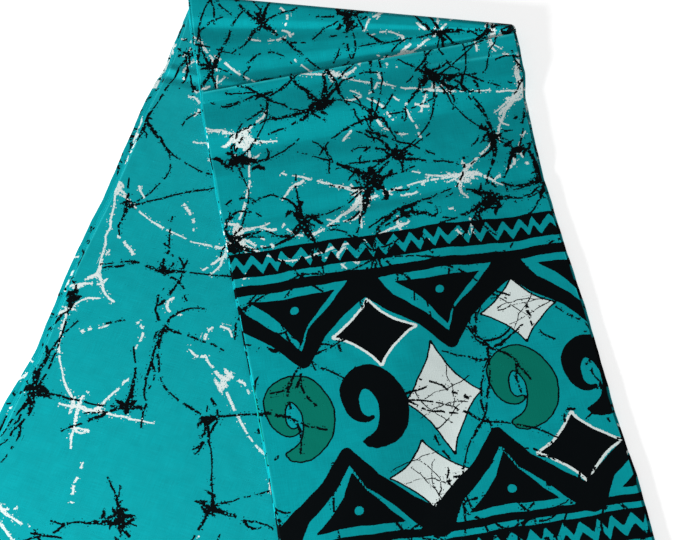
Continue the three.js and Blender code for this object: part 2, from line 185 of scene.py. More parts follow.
def under_points(row, across, through, lift=0.0):
    """The same for the lower leg. through is 0 on top, 1 on the table."""
    f = (across - row[2]) / (row[3] - row[2])
    x, y = place(UNDER_LEAN, row[0] + (row[1] - row[0]) * f, across)
    high = STACK + rise_at(row[None, -3:], f)
    return np.stack([x, y, high * (1 - through) + lift], -1)


def roll_points(angle, across, through, out=0.0):
    """Points round the turn: angle is 0 on top and 180 on the table."""
    f = (across - SPINE[2]) / (SPINE[3] - SPINE[2])
    top = np.stack(place(OVER_LEAN, SPINE[0] + (SPINE[1] - SPINE[0]) * f, across), -1)
    u = UNDER_SPINE
    low_across = u[2] + (u[3] - u[2]) * f
    low = np.stack(place(UNDER_LEAN, u[0] + (u[1] - u[0]) * f, low_across), -1)
    plan = top + (low - top) * (angle / 180)
    l = np.array(place(OVER_LEAN, SPINE[0], SPINE[2]))
    r = np.array(place(OVER_LEAN, SPINE[1], SPINE[3]))
    along = (r - l) / np.linalg.norm(r - l)
    t = math.radians(angle)
    depth = TURN_INNER + (TURN_DEPTH - CLOTH - TURN_INNER) * through + out
    height = ROLL_HOLLOW / 2 + (ROLL_TOP - ROLL_HOLLOW) / 2 * through + out
    xy = plan + np.array([-along[1], along[0]]) * (depth * math.sin(t))[:, None]
    return np.concatenate([xy, (ROLL_TOP / 2 + height * math.cos(t))[:, None]], 1)


FOLD_PRINT = (46, -71, 19)   # how far the print moves across, for each fold


def fold_profile(reach, s, seed, droop):
    """Edge of the hidden layers, from the inner side to the outer one. For each
    point: how far it reaches out, how far through the stack it is, how far its
    print is moved across the cloth, and how deep in a crease it lies, which sets
    how much painted shade it gets."""
    out, through, shift, crease = [], [], [], []
    for k in range(3):
        mine = reach[k] + 0.45 * wobble(s, seed + k)
        last = reach[k - 1] if k else 0.4
        start, end = k / 3, (k + 1) / 3
        dip = max(0.15, min(mine, last) - 1.3)
        after = max(0.15, min(mine, reach[k + 1] if k < 2 else mine) - 1.3)
        top = start + 0.02 + droop * (end - start) * np.array([0.0, 0.3, 0.7, 1.0])
        low = end - 0.02
        flat = dip + (mine - dip) * np.array([0.15, 0.45, 0.75, 1.0])
        turn = np.linspace(0, math.pi, 8)[1:-1]
        middle, half = (top[-1] + low) / 2, (low - top[-1]) / 2
        out += [dip, *flat, *(mine + 0.6 * np.sin(turn)), mine, (mine + after) / 2, after]
        through += [start, *top, *(middle - half * np.cos(turn)), low, low, end]
        shift += [FOLD_PRINT[k]] * 14
        # painted shade: how dark each point is painted, most in the creases between the folds
        crease += [1, 0.8, 0.2, 0, 0, 0, 0, 0, 0, 0, 0, 0, 0.5, 1]
    return np.array(out), np.array(through), np.array(shift), np.array(crease)


DECK = 15   # points across the stack's top, and across its underside


def stack_ring(points, row, s, seed, droops):
    """One ring of the stack, each point's place across the leg, its print's
    place across the cloth, and the painted shade in the creases between the folds."""
    columns = np.linspace(row[2], row[3], DECK)
    r_out, r_through, r_shift, r_crease = fold_profile(row[7:10], s, seed + 50, droops[1])
    l_out, l_through, l_shift, l_crease = fold_profile(row[4:7], s, seed, droops[0])
    across = np.concatenate([columns, row[3] + r_out, columns[::-1], (row[2] - l_out)[::-1]])
    flat = np.zeros(DECK)
    through = np.concatenate([flat, r_through, flat + 1, l_through[::-1]])
    printed = across + np.concatenate([flat, -r_shift, flat, l_shift[::-1]])
    crease = np.concatenate([flat, r_crease, flat, l_crease[::-1]])
    return points(across, through), across, printed, crease


def add_mesh(name, points, faces, cloth, uv):
    """A mesh object in metres. cloth is each point's place across and along the
    flat cloth in millimetres, and how much paler it is painted, 0 to 1, for dye
    rubbed off, painted highlights and painted light, or less than nothing for
    painted shade in creases and under edges."""
    mesh = bpy.data.meshes.new(name)
    mesh.from_pydata((points * 0.001).tolist(), [], faces)
    mesh.attributes.new("cloth", "FLOAT_VECTOR", "POINT").data.foreach_set(
        "vector", cloth.astype(np.float32).ravel())
    corner = np.empty(len(mesh.loops), np.int32)
    mesh.loops.foreach_get("vertex_index", corner)
    mesh.uv_layers.new(name="OFBake").data.foreach_set(
        "uv", uv[corner].astype(np.float32).ravel())
    mesh.shade_smooth()
    mesh.update()
    piece = bpy.data.objects.new(name, mesh)
    bpy.context.scene.collection.objects.link(piece)
    return piece


STACK_STEP = 2.4      # between the stack's rings
HIDDEN_PRINT = 1000   # where the lower leg's folds lie on the cloth's length
UNDER_SEED, OVER_SEED = 11, 31
under_rows = spread(UNDER_FOLDS, STACK_STEP)
over_rows = spread(OVER_FOLDS, STACK_STEP)
rings, cloth = [], []
for row in under_rows[:0:-1]:
    ring, across, printed, crease = stack_ring(
        lambda a, t: under_points(row, a, t), row, row[0], UNDER_SEED, (0.35, 0.1))
    rings.append(ring)
    along = np.full(len(across), HIDDEN_PRINT + row[0])
    cloth.append(np.column_stack([printed, along, -crease]))
for angle in np.linspace(180, 0, 15):
    ring, across, printed, crease = stack_ring(
        lambda a, t: roll_points(angle, a, t), SPINE, -angle / 8, UNDER_SEED, (0.1, 0.1))
    rings.append(ring)
    cloth.append(np.column_stack([printed, np.full(len(across), -angle / 8), -crease]))
for row in over_rows[1:]:
    ring, across, printed, crease = stack_ring(
        lambda a, t: over_points(row, a, t), row, row[0], OVER_SEED, (0.1, 0.1))
    rings.append(ring)
    f = (across - row[2]) / (row[3] - row[2])
    cloth.append(np.column_stack([printed, row[0] + (row[1] - row[0]) * f, -crease]))
count = len(rings[0])
points, cloth = np.concatenate(rings), np.concatenate(cloth)
faces = []
for i in range(len(rings) - 1):
    for j in range(count):
        a, b = i * count + j, i * count + (j + 1) % count
        faces.append((a, b, b + count, a + count))
grid = np.array([(j / (count - 1), i / (len(rings) - 1))
                 for i in range(len(rings)) for j in range(count)])


def cut_end(points, cloth, grid, first, outward):
    """Closes an open end with a cut edge for each layer, slightly uneven. The
    points, their cloth and their grid come back with more rows, and the faces."""
    lips = (count - 2 * DECK) // 2
    bottom = [first + k for k in range(DECK)]
    right = [first + DECK + k for k in range(lips)]
    top = [first + 2 * DECK + lips - 1 - k for k in range(DECK)]
    left = [first + 2 * DECK + lips + k for k in range(lips)]
    levels = np.linspace(0, 1, LAYERS * 4 + 1)[1:-1]
    layer = np.floor(levels * LAYERS - 1e-6)
    between = np.abs(np.sin(levels * LAYERS * math.pi)) <= 0.1
    edges, columns = [], []
    for k in range(DECK):
        uneven = 0.7 * np.sin(layer * 2.3 + k / 3) + 0.5 * np.sin(layer * 4.1 - k / 1.7)
        edge = points[bottom[k]] + (points[top[k]] - points[bottom[k]]) * levels[:, None]
        edge[:, :2] += np.outer(~between * (1.1 + uneven) - 0.7, outward)
        new = len(points) + k * len(levels)
        columns.append([bottom[k], *range(new, new + len(levels)), top[k]])
        edges.append(edge)
    ends = [(c[i], c[i + 1], d[i + 1], d[i])
            for c, d in zip(columns, columns[1:]) for i in range(len(levels) + 1)]
    ends += [(*right, *columns[-1][::-1]), (*left, *columns[0])]
    under = np.repeat(bottom, len(levels))
    return (np.concatenate([points, *edges]), np.concatenate([cloth, cloth[under]]),
            np.concatenate([grid, grid[under]]), ends)


far = rings[-1][DECK // 2] - rings[-2][DECK // 2]
near = rings[0][DECK // 2] - rings[1][DECK // 2]
points, cloth, grid, ends = cut_end(points, cloth, grid, (len(rings) - 1) * count,
                                    far[:2] / np.linalg.norm(far[:2]))
faces += ends
points, cloth, grid, ends = cut_end(points, cloth, grid, 0, near[:2] / np.linalg.norm(near[:2]))
faces += [f[::-1] for f in ends]
stack = add_mesh("hidden_cloth_layers", points, faces, cloth, 0.002 + 0.996 * grid)
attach(stack, "root")
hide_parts("hidden_layers")

# The lower leg's top layer: one thickness of the print, lying on the stack.
# Its left edge is a fold that turns under, and a small pinched fold crosses it
# just below the upper leg's turn.
SHEET_STEP = 1.5   # between points, both ways
# Points over each edge: millimetres past it, height, and how much paler they are painted, for wear and
# a painted highlight on the fold and the rim.
LEFT_CURL = [(3.0, -0.42, 0), (1.0, -0.42, 0), (0.3, -0.40, 0), (-0.05, -0.30, 0),
             (-0.14, -0.18, 0.1), (-0.05, -0.07, 0.3), (0.2, -0.01, 0.6), (0.9, 0.0, 0.3)]
RIGHT_RIM = [(-0.9, 0.0, 0.2), (-0.2, 0.0, 0.5), (0.0, -0.06, 0.8), (0.04, -0.2, 0.4),
             (0.0, -0.34, 0)]
RIM_PAST, RIM_DROPS = 0.15, (-0.16, -0.34)   # the cut end, turned down


def sheet_columns(width):
    """Across the sheet: the share of its width, millimetres past that, how far
    below the surface, and the wear with a painted highlight, with a fold at the left, a rim at the
    right."""
    inner = np.linspace(0, 1, math.ceil(width / SHEET_STEP))[1:-1]
    share = np.concatenate([np.zeros(len(LEFT_CURL)), inner, np.ones(len(RIGHT_RIM))])
    left, right, none = np.array(LEFT_CURL).T, np.array(RIGHT_RIM).T, np.zeros(len(inner))
    past, below, edge_wear_and_painted_light = (np.concatenate([left[k], none, right[k]]) for k in range(3))
    return share, past, below, edge_wear_and_painted_light


def crumple(x, y):
    """Slight unevenness that folding leaves in firm cotton."""
    broad = 0.16 * np.sin(x / 21 + 1.3 * np.sin(y / 47)) * np.sin(y / 33 + 0.7)
    fine = 0.05 * np.sin(x / 6.1 + 2.1 * np.sin(y / 11)) * np.sin(y / 7.3 + x / 29)
    return broad + fine


def sheet_mesh(name, rows, cloth):
    """Faces between rows of points, turned to face up."""
    columns = len(rows[0])
    points = np.concatenate(rows)
    faces = [(k, k + 1, k + columns + 1, k + columns)
             for i in range(len(rows) - 1) for k in range(i * columns, (i + 1) * columns - 1)]
    a, b, _, d = faces[(len(rows) // 2) * (columns - 1) + columns // 2]
    if np.cross(points[b] - points[a], points[d] - points[a])[2] < 0:
        faces = [f[::-1] for f in faces]
    grid = np.array([(j / (columns - 1), i / (len(rows) - 1))
                     for i in range(len(rows)) for j in range(columns)])
    return add_mesh(name, points, faces, np.concatenate(cloth), 0.002 + 0.996 * grid)


def moved(row, along):
    """A row further along its leg."""
    new = row.copy()
    new[:2] += along
    return new


share, past, below, edge_wear_and_painted_light = sheet_columns(264)
rows, cloth = [], []
leg = spread(UNDER_FOLDS, SHEET_STEP)[4:]
last = moved(leg[-1], RIM_PAST)
for row, drop in [*((r, 0.0) for r in leg), *((last, drop) for drop in RIM_DROPS)]:
    across = row[2] + (row[3] - row[2]) * share + past
    points = under_points(row, across, np.zeros(len(across)), CLOTH + below + drop)
    points[:, 2] += crumple(points[:, 0], points[:, 1]) * (below == 0) * 0.8
    rows.append(points)
    along = row[0] + (row[1] - row[0]) * (across - row[2]) / (row[3] - row[2])
    # Painted light: the lower leg is painted paler all over, most near the turn.
    lower_leg_painted_light = 0.07 + 0.13 * (1 - soft_step(along / 330))
    cloth.append(np.column_stack([across, along, np.maximum(edge_wear_and_painted_light, lower_leg_painted_light)]))
lower = sheet_mesh("lower_leg_cloth", rows, cloth)
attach(lower, "root")
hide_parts("lower_leg_face")

# The upper leg's outer layer: one thickness of the print, wrapped round the
# turn. The fullness left over from turning lies in one tuck below the roll,
# and dies out in soft waves further down.
TUCK_DEPTH = 11.0     # how far the cloth runs in under the tuck's lip
TUCK_LIFT = (1.35, 1.7, 2.0)   # lip's height over the layer behind it
share, past, below, edge_wear_and_painted_light = sheet_columns(281)
# Painted shade under the upper leg's left fold; the painted highlight of its edge is halved.
edge_wear_and_painted_light = np.where(below < -0.02, -0.5, 0.5 * edge_wear_and_painted_light)   # its left edge is in shade
rows, cloth = [], []


def across_of(row):
    """Each point's place across a row."""
    return row[2] + (row[3] - row[2]) * share + past


def cloth_of(row, across, shift, rubbed_and_painted_light=0.0):
    """Places on the flat cloth, shift millimetres before the row, and the wear with painted highlight
    and painted shade.
    """
    f = (across - row[2]) / (row[3] - row[2])
    along = row[0] + (row[1] - row[0]) * f - shift
    return np.column_stack([across, along,
                            np.where(below < -0.02, edge_wear_and_painted_light, np.maximum(edge_wear_and_painted_light, rubbed_and_painted_light))])


def pressed(along, across):
    """A faint crease that a pressed fold has left, just below the tuck; it is raised a little and
    painted paler, partly as a painted highlight.
    """
    return np.exp(-((along - 75.5) / 1.4) ** 2) * soft_step((across - 45) / 40)


def add_row(row, shift, lift=0.0, drop=0.0, uneven=1.0, rubbed_and_painted_light=0.0):
    """Adds a row of the cloth, lifted by one height or by left, middle, right."""
    across = across_of(row)
    f = np.clip((across - row[2]) / (row[3] - row[2]), 0, 1)
    high = np.interp(f, (0, 0.5, 1), lift) if np.ndim(lift) else lift
    points = over_points(row, across, np.ones(len(across)), CLOTH + high + below + drop)
    points[:, 2] += crumple(points[:, 0], points[:, 1]) * (below == 0) * uneven
    crease = pressed(row[0] + (row[1] - row[0]) * f, across)
    points[:, 2] += 0.3 * crease
    rows.append(points)
    # The pressed crease and the tuck's lip are painted paler: wear, and a painted highlight.
    cloth.append(cloth_of(row, across, shift, np.maximum(rubbed_and_painted_light, 0.6 * crease)))


BEHIND = 2 * TUCK_DEPTH + 1.0   # cloth hidden in the tuck
for angle in np.linspace(168, 0, 17)[:-1]:
    across = across_of(SPINE)
    points = roll_points(angle, across, np.ones(len(across)), CLOTH + below)
    points[:, 2] = np.maximum(points[:, 2], 0.05)
    rows.append(points)
    cloth.append(cloth_of(SPINE, across, BEHIND + math.radians(angle) * 6.3))
leg = spread(OVER_FOLDS, SHEET_STEP)
tuck = next(i for i, r in enumerate(leg) if abs(r[0] - TUCK_AT) < 1e-6)
for i, row in enumerate(leg[:tuck + 1]):
    add_row(row, BEHIND, uneven=min(1, i / 12))
lip = leg[tuck]
TUCK = [  # along from the lip, share of the lip's height, cloth before the lip
    (2.2, 0.02, BEHIND - 2), (5.0, 0.04, BEHIND - 4), (8.0, 0.06, BEHIND - 7),
    (TUCK_DEPTH + 1.6, 0.10, BEHIND - TUCK_DEPTH), (TUCK_DEPTH + 2.0, 0.2, BEHIND - TUCK_DEPTH),
    (TUCK_DEPTH + 1.6, 0.32, TUCK_DEPTH), (7.0, 0.5, 7.0), (3.0, 0.64, 3.0),
    (1.7, 0.68, 1.5), (1.2, 0.78, 0.8), (1.15, 0.90, 0.4), (1.45, 0.98, 0.0), (2.0, 1.0, 0.0),
]
for along, height, shift in TUCK:
    # Painted highlight: the top of the tuck's lip is painted paler, as well as rubbed.
    rubbed_and_painted_light = 1.0 if along < 2.5 and height > 0.85 else 0.0
    add_row(moved(lip, along), shift, [t * height for t in TUCK_LIFT], uneven=0.3, rubbed_and_painted_light=rubbed_and_painted_light)
for row in leg[tuck + 1:]:   # the lip's height dies out from 71 to 84 mm
    gone = np.clip((row[0] - 71.0) / 13, 0, 1)
    ease = 1 - soft_step(gone)
    if row[0] - lip[0] < 2.6:
        continue
    # Just past the lip, half as much painted highlight.
    add_row(row, 0.0, [t * ease for t in TUCK_LIFT], uneven=min(1, 0.3 + gone),
            rubbed_and_painted_light=0.5 if row[0] - lip[0] < 3.6 else 0.0)
for drop in RIM_DROPS:
    add_row(moved(leg[-1], RIM_PAST), 0.0, drop=drop)
upper = sheet_mesh("upper_leg_cloth", rows, cloth)
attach(upper, "root")
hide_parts("upper_leg_face")

# The print, the same on all the pieces: a teal ground with branching black and
# white crackle, and a border of common hand-drawn shapes across one end. It is
# laid out flat in millimetres, across and along the cloth, and kept on the
# points as distances, so that the edges stay sharp between them.
BLACK_ROWS, WHITE_ROWS = 9, 3   # lines that cross are kept in separate rows
FAR = 12.0    # distances beyond this aren't kept
TOOTH = 120   # between the border's V lines


def twig(rng, start, heading, length, thick, bend=0.9, thin=0.8):
    """A wandering line: its points and half its width at each."""
    steps = max(3, round(length / 4.5))
    turns = heading + rng.normal(0, bend) * np.linspace(0, 1, steps)
    turns += np.cumsum(rng.normal(0, 0.1, steps)) + rng.normal(0, 0.16, steps)
    moves = np.stack([np.cos(turns), np.sin(turns)], 1) * length / steps
    path = np.vstack([[0, 0], np.cumsum(moves, 0)]) + start
    f = np.linspace(0, 1, steps + 1)
    half = thin + 0.25 * (1 - f) + thick * np.clip(1 - f * 1.5, 0, 1) ** 1.7
    return path, half * rng.uniform(0.75, 1.3, steps + 1)


def star(rng, centre, reach, thick):
    """Lines that tangle at one place, with a blot there and side twigs. A blot's
    lines have -1 where the others have how broken they are."""
    lines = []
    for _ in range(int(3.2 * thick)):
        spot = centre + rng.normal(0, 1.6 + 1.1 * thick, 2)
        path, half = twig(rng, spot, rng.uniform(0, 6.28), rng.uniform(7, 17), 0.0, 0.9)
        swell = np.sin(np.linspace(0.2, 2.94, len(path)))
        lines.append((path - (path.mean(0) - spot), half * swell * rng.uniform(1.0, 2.3), -1))
    thick *= 0.75
    first = rng.uniform(0, math.pi)
    crossing = rng.integers(1, 4)
    for k in range(crossing):
        heading = first + math.pi * k / crossing + rng.normal(0, 0.35)
        spot = centre + rng.normal(0, 3.6, 2)
        a, wide_a = twig(rng, spot, heading, reach * rng.uniform(0.4, 1.6), thick, 0.8)
        b, wide_b = twig(rng, spot, heading + math.pi + rng.normal(0, 0.5),
                         reach * rng.uniform(0.1, 1.1), thick * rng.uniform(0.4, 1), 0.8)
        lines.append((np.vstack([a[:0:-1], b]), np.concatenate([wide_a[:0:-1], wide_b]),
                      rng.uniform(0.2, 0.95)))
        if len(a) > 6 and rng.random() < 0.75:
            at = rng.integers(2, len(a) - 2)
            step = a[at + 1] - a[at]
            turn = math.atan2(step[1], step[0]) + rng.choice([-1, 1]) * rng.uniform(0.4, 0.9)
            side = twig(rng, a[at], turn, reach * rng.uniform(0.3, 0.9), 0.5)
            lines.append((*side, rng.uniform(0.3, 1.0)))
    return lines


def link(rng, start, end):
    """A bowed line from one crossing to the next."""
    f = np.linspace(0, 1, 12)
    bow = np.array([start[1] - end[1], end[0] - start[0]]) * rng.normal(0, 0.13)
    path = start + np.outer(f, end - start) + np.outer(np.sin(np.pi * f), bow)
    path[1:-1] += rng.normal(0, 0.5, (10, 2))
    half = (0.8 + 0.6 * np.abs(2 * f - 1) ** 3) * rng.uniform(0.7, 1.35, 12)
    return path, half, rng.uniform(0, 0.8)


def crackle(seed, area, spacing, reach, thick, loose):
    """Stars no nearer than spacing, and a number of loose broken lines."""
    rng = np.random.default_rng(seed)
    low, high = np.array(area[:2], float), np.array(area[2:], float)
    centres, lines = [], []
    for _ in range(600):
        spot = rng.uniform(low, high)
        if all(np.hypot(*(spot - c)) > spacing * rng.uniform(0.7, 1.2) for c in centres):
            for other in centres:
                if np.hypot(*(spot - other)) < spacing * 1.5 and rng.random() < 0.55:
                    lines.append(link(rng, spot, other))
            centres.append(spot)
            lines += star(rng, spot, reach * rng.uniform(0.6, 1.25), thick * rng.uniform(0.3, 1.3) ** 2)
    for _ in range(loose):
        line = twig(rng, rng.uniform(low, high), rng.uniform(0, 6.28), reach * rng.uniform(0.3, 1.1),
                    0.1, 1.2)
        lines.append((*line, rng.uniform(0.7, 1.25)))
    return lines


def in_rows(lines, count):
    """Shares lines among rows, so that none comes near another of its row."""
    rows = [[] for _ in range(count)]
    for line in lines:
        for row in rows:
            clear = all((line[0].min(0) > other[0].max(0) + 7).any()
                        or (line[0].max(0) < other[0].min(0) - 7).any()
                        or np.hypot(*(line[0][:, None] - other[0]).T).min() > 7
                        for other in row)
            if clear:
                row.append(line)
                break
    return rows


def line_fields(cloth, lines):
    """For each point: the signed distance to the nearest line, in halves of
    its width, and 1 where there is ink near it."""
    nearest, gauge, ink = (np.full(len(cloth), v) for v in (99.0, 9.0, 0.0))
    for index, (path, half, broken) in enumerate(lines):
        reach = half.max() + 2.6
        at = np.flatnonzero(((cloth > path.min(0) - reach) & (cloth < path.max(0) + reach)).all(1))
        if not len(at):
            continue
        step = np.diff(path, axis=0)
        size = np.hypot(*step.T)
        off = cloth[at][:, None] - path[:-1]
        f = (off * step).sum(-1) / size ** 2
        gap = off - step * f.clip(0, 1)[..., None]
        away = np.hypot(gap[..., 0], gap[..., 1])
        k, each = away.argmin(1), np.arange(len(at))
        f, gap, away = f[each, k], gap[each, k], away[each, k]
        side = np.where(step[k, 0] * gap[:, 1] - step[k, 1] * gap[:, 0] < 0, -1, 1)
        wide = half[k] + (half[k + 1] - half[k]) * f.clip(0, 1)
        past_end = np.abs(f - f.clip(0, 1)) * size[k] > wide
        past_end &= ((k == 0) & (f < 0)) | ((k == len(step) - 1) & (f > 1))
        along = np.concatenate([[0], np.cumsum(size)])[k] + f * size[k]
        dash = np.sin(along / 1.7 + index) + np.sin(along / 4.1 + 2.3 * index)
        inked = ~past_end & (away < wide + 2.4) & ((dash > broken * 1.7 - 2.2) | (wide > 1.4))
        better = away - wide < nearest[at]
        at, better = at[better], np.flatnonzero(better)
        nearest[at], ink[at] = (away - wide)[better], inked[better]
        gauge[at] = np.clip(away[better] * side[better] / wide[better], -9, 9)
    return gauge, ink


def path_gap(points, path, half):
    """Distance from a line of changing width, less than nothing on it."""
    path, half = np.asarray(path, float), np.broadcast_to(half, len(path))
    best = np.full(len(points), FAR)
    for a, b, wide_a, wide_b in zip(path, path[1:], half, half[1:]):
        f = ((points - a) @ (b - a) / ((b - a) @ (b - a))).clip(0, 1)
        away = np.hypot(*(points - a - np.outer(f, b - a)).T)
        best = np.minimum(best, away - wide_a - (wide_b - wide_a) * f)
    return best


def shape_gap(points, corners):
    """Distance from a closed outline, less than nothing inside it."""
    corners = np.asarray(corners, float)
    inside = np.zeros(len(points), bool)
    for a, b in zip(corners, np.roll(corners, -1, 0)):
        spans = (a[1] > points[:, 1]) != (b[1] > points[:, 1])
        with np.errstate(divide="ignore", invalid="ignore"):
            side = a[0] + (points[:, 1] - a[1]) * (b[0] - a[0]) / (b[1] - a[1])
            inside ^= spans & (points[:, 0] < side)
    gap = path_gap(points, np.vstack([corners, corners[:1]]), 0)
    return np.where(inside, -gap, gap)


def blots(cloth, lines):
    """Distance from the blots among the lines, less than nothing on them."""
    gap = np.full(len(cloth), FAR)
    for path, half, broken in lines:
        if broken == -1:
            at = np.flatnonzero(((cloth > path.min(0) - 6) & (cloth < path.max(0) + 6)).all(1))
            gap[at] = np.minimum(gap[at], path_gap(cloth[at], path, half))
    return gap


def stripe(along, start, end):
    """Distance from a stripe across the cloth, less than nothing on it."""
    return np.abs(along - (start + end) / 2) - (end - start) / 2


def fold(across, middle, period):
    """Across the cloth, measured from the nearest repeat of the middle."""
    return np.abs((across - middle + period / 2) % period - period / 2)


def zigzag(across, along, middle):
    """Distance from a fine, uneven zigzag round a line along the border."""
    x = fold(across + 2.2 * wobble(across, middle, (43, 27, 19)), 0, 13.2)
    return np.abs((x - 3.3) * 5.6 + (along - middle) * 3.3) / math.hypot(5.6, 3.3)


def tooth_row(points):
    """Large V lines with a dotted triangle in each, hanging from a stripe."""
    vee = path_gap(points, [(-60, 283), (-44, 304), (-19, 325), (0, 350), (15, 324), (38, 303),
                            (60, 283)], (11.5, 7.4, 6.6, 5.2, 7.4, 8.2, 11.5))
    triangle = shape_gap(points, [(36, 287), (24, 299), (9, 317), (0, 334), (-10, 314), (-22, 299),
                                  (-36, 287), (0, 288.5)])
    dot = np.hypot(points[:, 0], points[:, 1] - 301) - 3.6
    return np.minimum(vee, np.maximum(triangle, -dot))


def curl(middle, radius, half):
    """A single scroll, widest on its outer side: its path and half its width."""
    f = np.linspace(0, 1, 34)
    turn = 1.9 - f * 6.8
    size = radius * (1 - 0.62 * f)
    path = np.stack([middle[0] + size * np.cos(turn), middle[1] + 1.45 * size * np.sin(turn)], 1)
    return path, 1.8 + half * np.sin(np.pi * f ** 0.6) ** 1.2


def lozenge(middle, wide, high):
    """A four-pointed shape with sides that curve in."""
    turn = np.linspace(0, 2 * math.pi, 40, endpoint=False)
    power = 2.5
    x, y = np.cos(turn), np.sin(turn)
    return np.stack([middle[0] + wide * np.sign(x) * np.abs(x) ** power,
                     middle[1] + high * np.sign(y) * np.abs(y) ** power], 1)


def border_fields(cloth):
    """Distances from the border's black, white, green and rimmed shapes."""
    across = cloth[:, 0] + 0.9 * wobble(cloth[:, 1], 3, (61, 29, 11))
    along = cloth[:, 1] + 1.2 * wobble(cloth[:, 0], 4, (97, 41, 17))
    points = np.column_stack([across, along])
    black, white, green, rimmed = (np.full(len(cloth), FAR) for _ in range(4))
    # a zigzag band and a stripe before the V lines, and the same again after them
    rows = np.maximum(stripe(along, 239, 263), 2.1 - zigzag(across, along, 251))
    black = np.minimum.reduce([black, rows, stripe(along, 271, 280.5), stripe(along, 505, 512),
                               np.maximum(stripe(along, 517, 543), 2.3 - zigzag(across, along, 530)),
                               stripe(along, 549, 553)])
    tops = np.column_stack([(across + 99 + TOOTH / 2) % TOOTH - TOOTH / 2, along])
    feet = np.column_stack([(across + 79 + TOOTH / 2) % TOOTH - TOOTH / 2, 786 - along])
    black = np.minimum.reduce([black, tooth_row(tops), tooth_row(feet)])
    # a green scroll, a black one and a tall white lozenge in turn
    for k, middle in enumerate(range(-116, 180, 60)):
        if k % 3 == 2:
            white = np.minimum(white, shape_gap(points, lozenge((middle, 397), 31, 50)))
            continue
        scroll = path_gap(points, *curl((middle, 395), 24, 10.4))
        if k % 3 == 0:
            green = np.minimum(green, scroll)
        else:
            black = np.minimum(black, scroll)
    for dark, pale in (((-39, 331), (81, 327)), ((101, 458), (-19, 462))):
        rimmed = np.minimum(rimmed, shape_gap(points, lozenge(dark, 33, 30)))
        white = np.minimum(white, shape_gap(points, lozenge(pale, 31, 30)))
    black = np.minimum(black, rimmed)
    return black, np.column_stack([white, green, rimmed])


def add_print(piece, black_lines, white_lines, border):
    """Keeps the print's distances on the piece's points."""
    mesh = piece.data
    flat = np.empty(len(mesh.vertices) * 3, np.float32)
    mesh.attributes["cloth"].data.foreach_get("vector", flat)
    cloth = flat.reshape(-1, 3)[:, :2].astype(float)
    fields = {}
    rows = [*in_rows([line for line in black_lines if line[2] != -1], BLACK_ROWS),
            *in_rows([line for line in white_lines if line[2] != -1], WHITE_ROWS)]
    pairs = [line_fields(cloth, row) for row in rows]
    for k in range(0, len(rows), 3):
        fields[f"gauge_{k // 3}"] = np.column_stack([p[0] for p in pairs[k:k + 3]])
        fields[f"ink_{k // 3}"] = np.column_stack([p[1] for p in pairs[k:k + 3]])
    if border:
        black, others = border_fields(cloth)
    else:
        black, others = np.full(len(cloth), FAR), np.full((len(cloth), 3), FAR)
    fields["shapes"] = others.clip(-FAR, FAR)
    fields["black_and_blots"] = np.column_stack([black.clip(-FAR, FAR), blots(cloth, black_lines),
                                                 blots(cloth, white_lines)])
    for name, values in fields.items():
        mesh.attributes.new(name, "FLOAT_VECTOR", "POINT").data.foreach_set(
            "vector", values.astype(np.float32).ravel())


upper_black = crackle(21, (-150, -100, 145, 232), 60, 60, 3.2, 14)
upper_black += crackle(31, (10, -90, 145, 190), 90, 54, 3.0, 2)
upper_black += crackle(22, (-150, 262, 145, 560), 56, 44, 0.7, 34)
upper_white = crackle(23, (-150, -100, 145, 218), 82, 50, 2.4, 26)
upper_white += crackle(33, (-150, 225, 60, 262), 60, 14, 0.6, 12)
lower_black = crackle(24, (-135, 330, 150, 590), 70, 50, 3.2, 10)
lower_black += crackle(25, (-135, -20, 150, 320), 96, 36, 0.9, 22)
lower_white = crackle(26, (-135, -20, 150, 330), 92, 28, 1.0, 36)
lower_white += crackle(36, (-135, 350, 150, 590), 112, 40, 2.4, 14)
for middle in ((4, 397), (81, 327), (-19, 462)):   # fine veins in the white lozenges
    rng = np.random.default_rng(40 + middle[1])
    for _ in range(5):
        spot = middle + rng.normal(0, (7, 10))
        path, half = twig(rng, spot, rng.uniform(0, 6.28), 42, 0.0, 0.7, 0.3)
        upper_black.append((path - (path.mean(0) - spot), half * 0.9, 0.2))
folds_black = crackle(27, (-210, 1000, -80, 1590), 62, 34, 1.2, 60)
folds_white = crackle(28, (-210, 1000, -80, 1590), 100, 26, 0.7, 24)
add_print(stack, upper_black + folds_black, upper_white + folds_white, True)
add_print(lower, lower_black, lower_white, False)
add_print(upper, upper_black, upper_white, True)

# The printed cotton: firm and slightly glazed, one material on all the pieces.
# The dye is uneven along the yarns, paler where folding has rubbed it and where
# highlights and light are painted on, darker where shade is painted into creases,
# and the print's edges are ragged.
cotton = bpy.data.materials.new("printed cotton")
cotton.use_nodes = True
tree = cotton.node_tree
shader = tree.nodes["Principled BSDF"]


def node(kind, *values, **settings):
    """A node with its settings, and numbers or other nodes' outputs put in."""
    made = tree.nodes.new(kind)
    for key, value in settings.items():
        setattr(made, key, value)
    for socket, value in zip(made.inputs, values):
        if isinstance(value, bpy.types.NodeSocket):
            tree.links.new(value, socket)
        elif value is not None:
            socket.default_value = value
    return made


def maths(operation, *values):
    """One sum on numbers or other nodes' outputs."""
    return node("ShaderNodeMath", *values, operation=operation).outputs[0]


def parts(name):
    """The three numbers of an attribute."""
    read_in = node("ShaderNodeAttribute", attribute_name=name)
    return node("ShaderNodeSeparateXYZ", read_in.outputs["Vector"]).outputs


def noise(size, detail=2.0, roughness=0.5):
    """Noise on the flat cloth, with patches of a size in millimetres."""
    made = node("ShaderNodeTexNoise", flat_cloth, noise_dimensions="2D")
    made.inputs["Scale"].default_value = 1 / size
    made.inputs["Detail"].default_value = detail
    made.inputs["Roughness"].default_value = roughness
    return made.outputs[0]


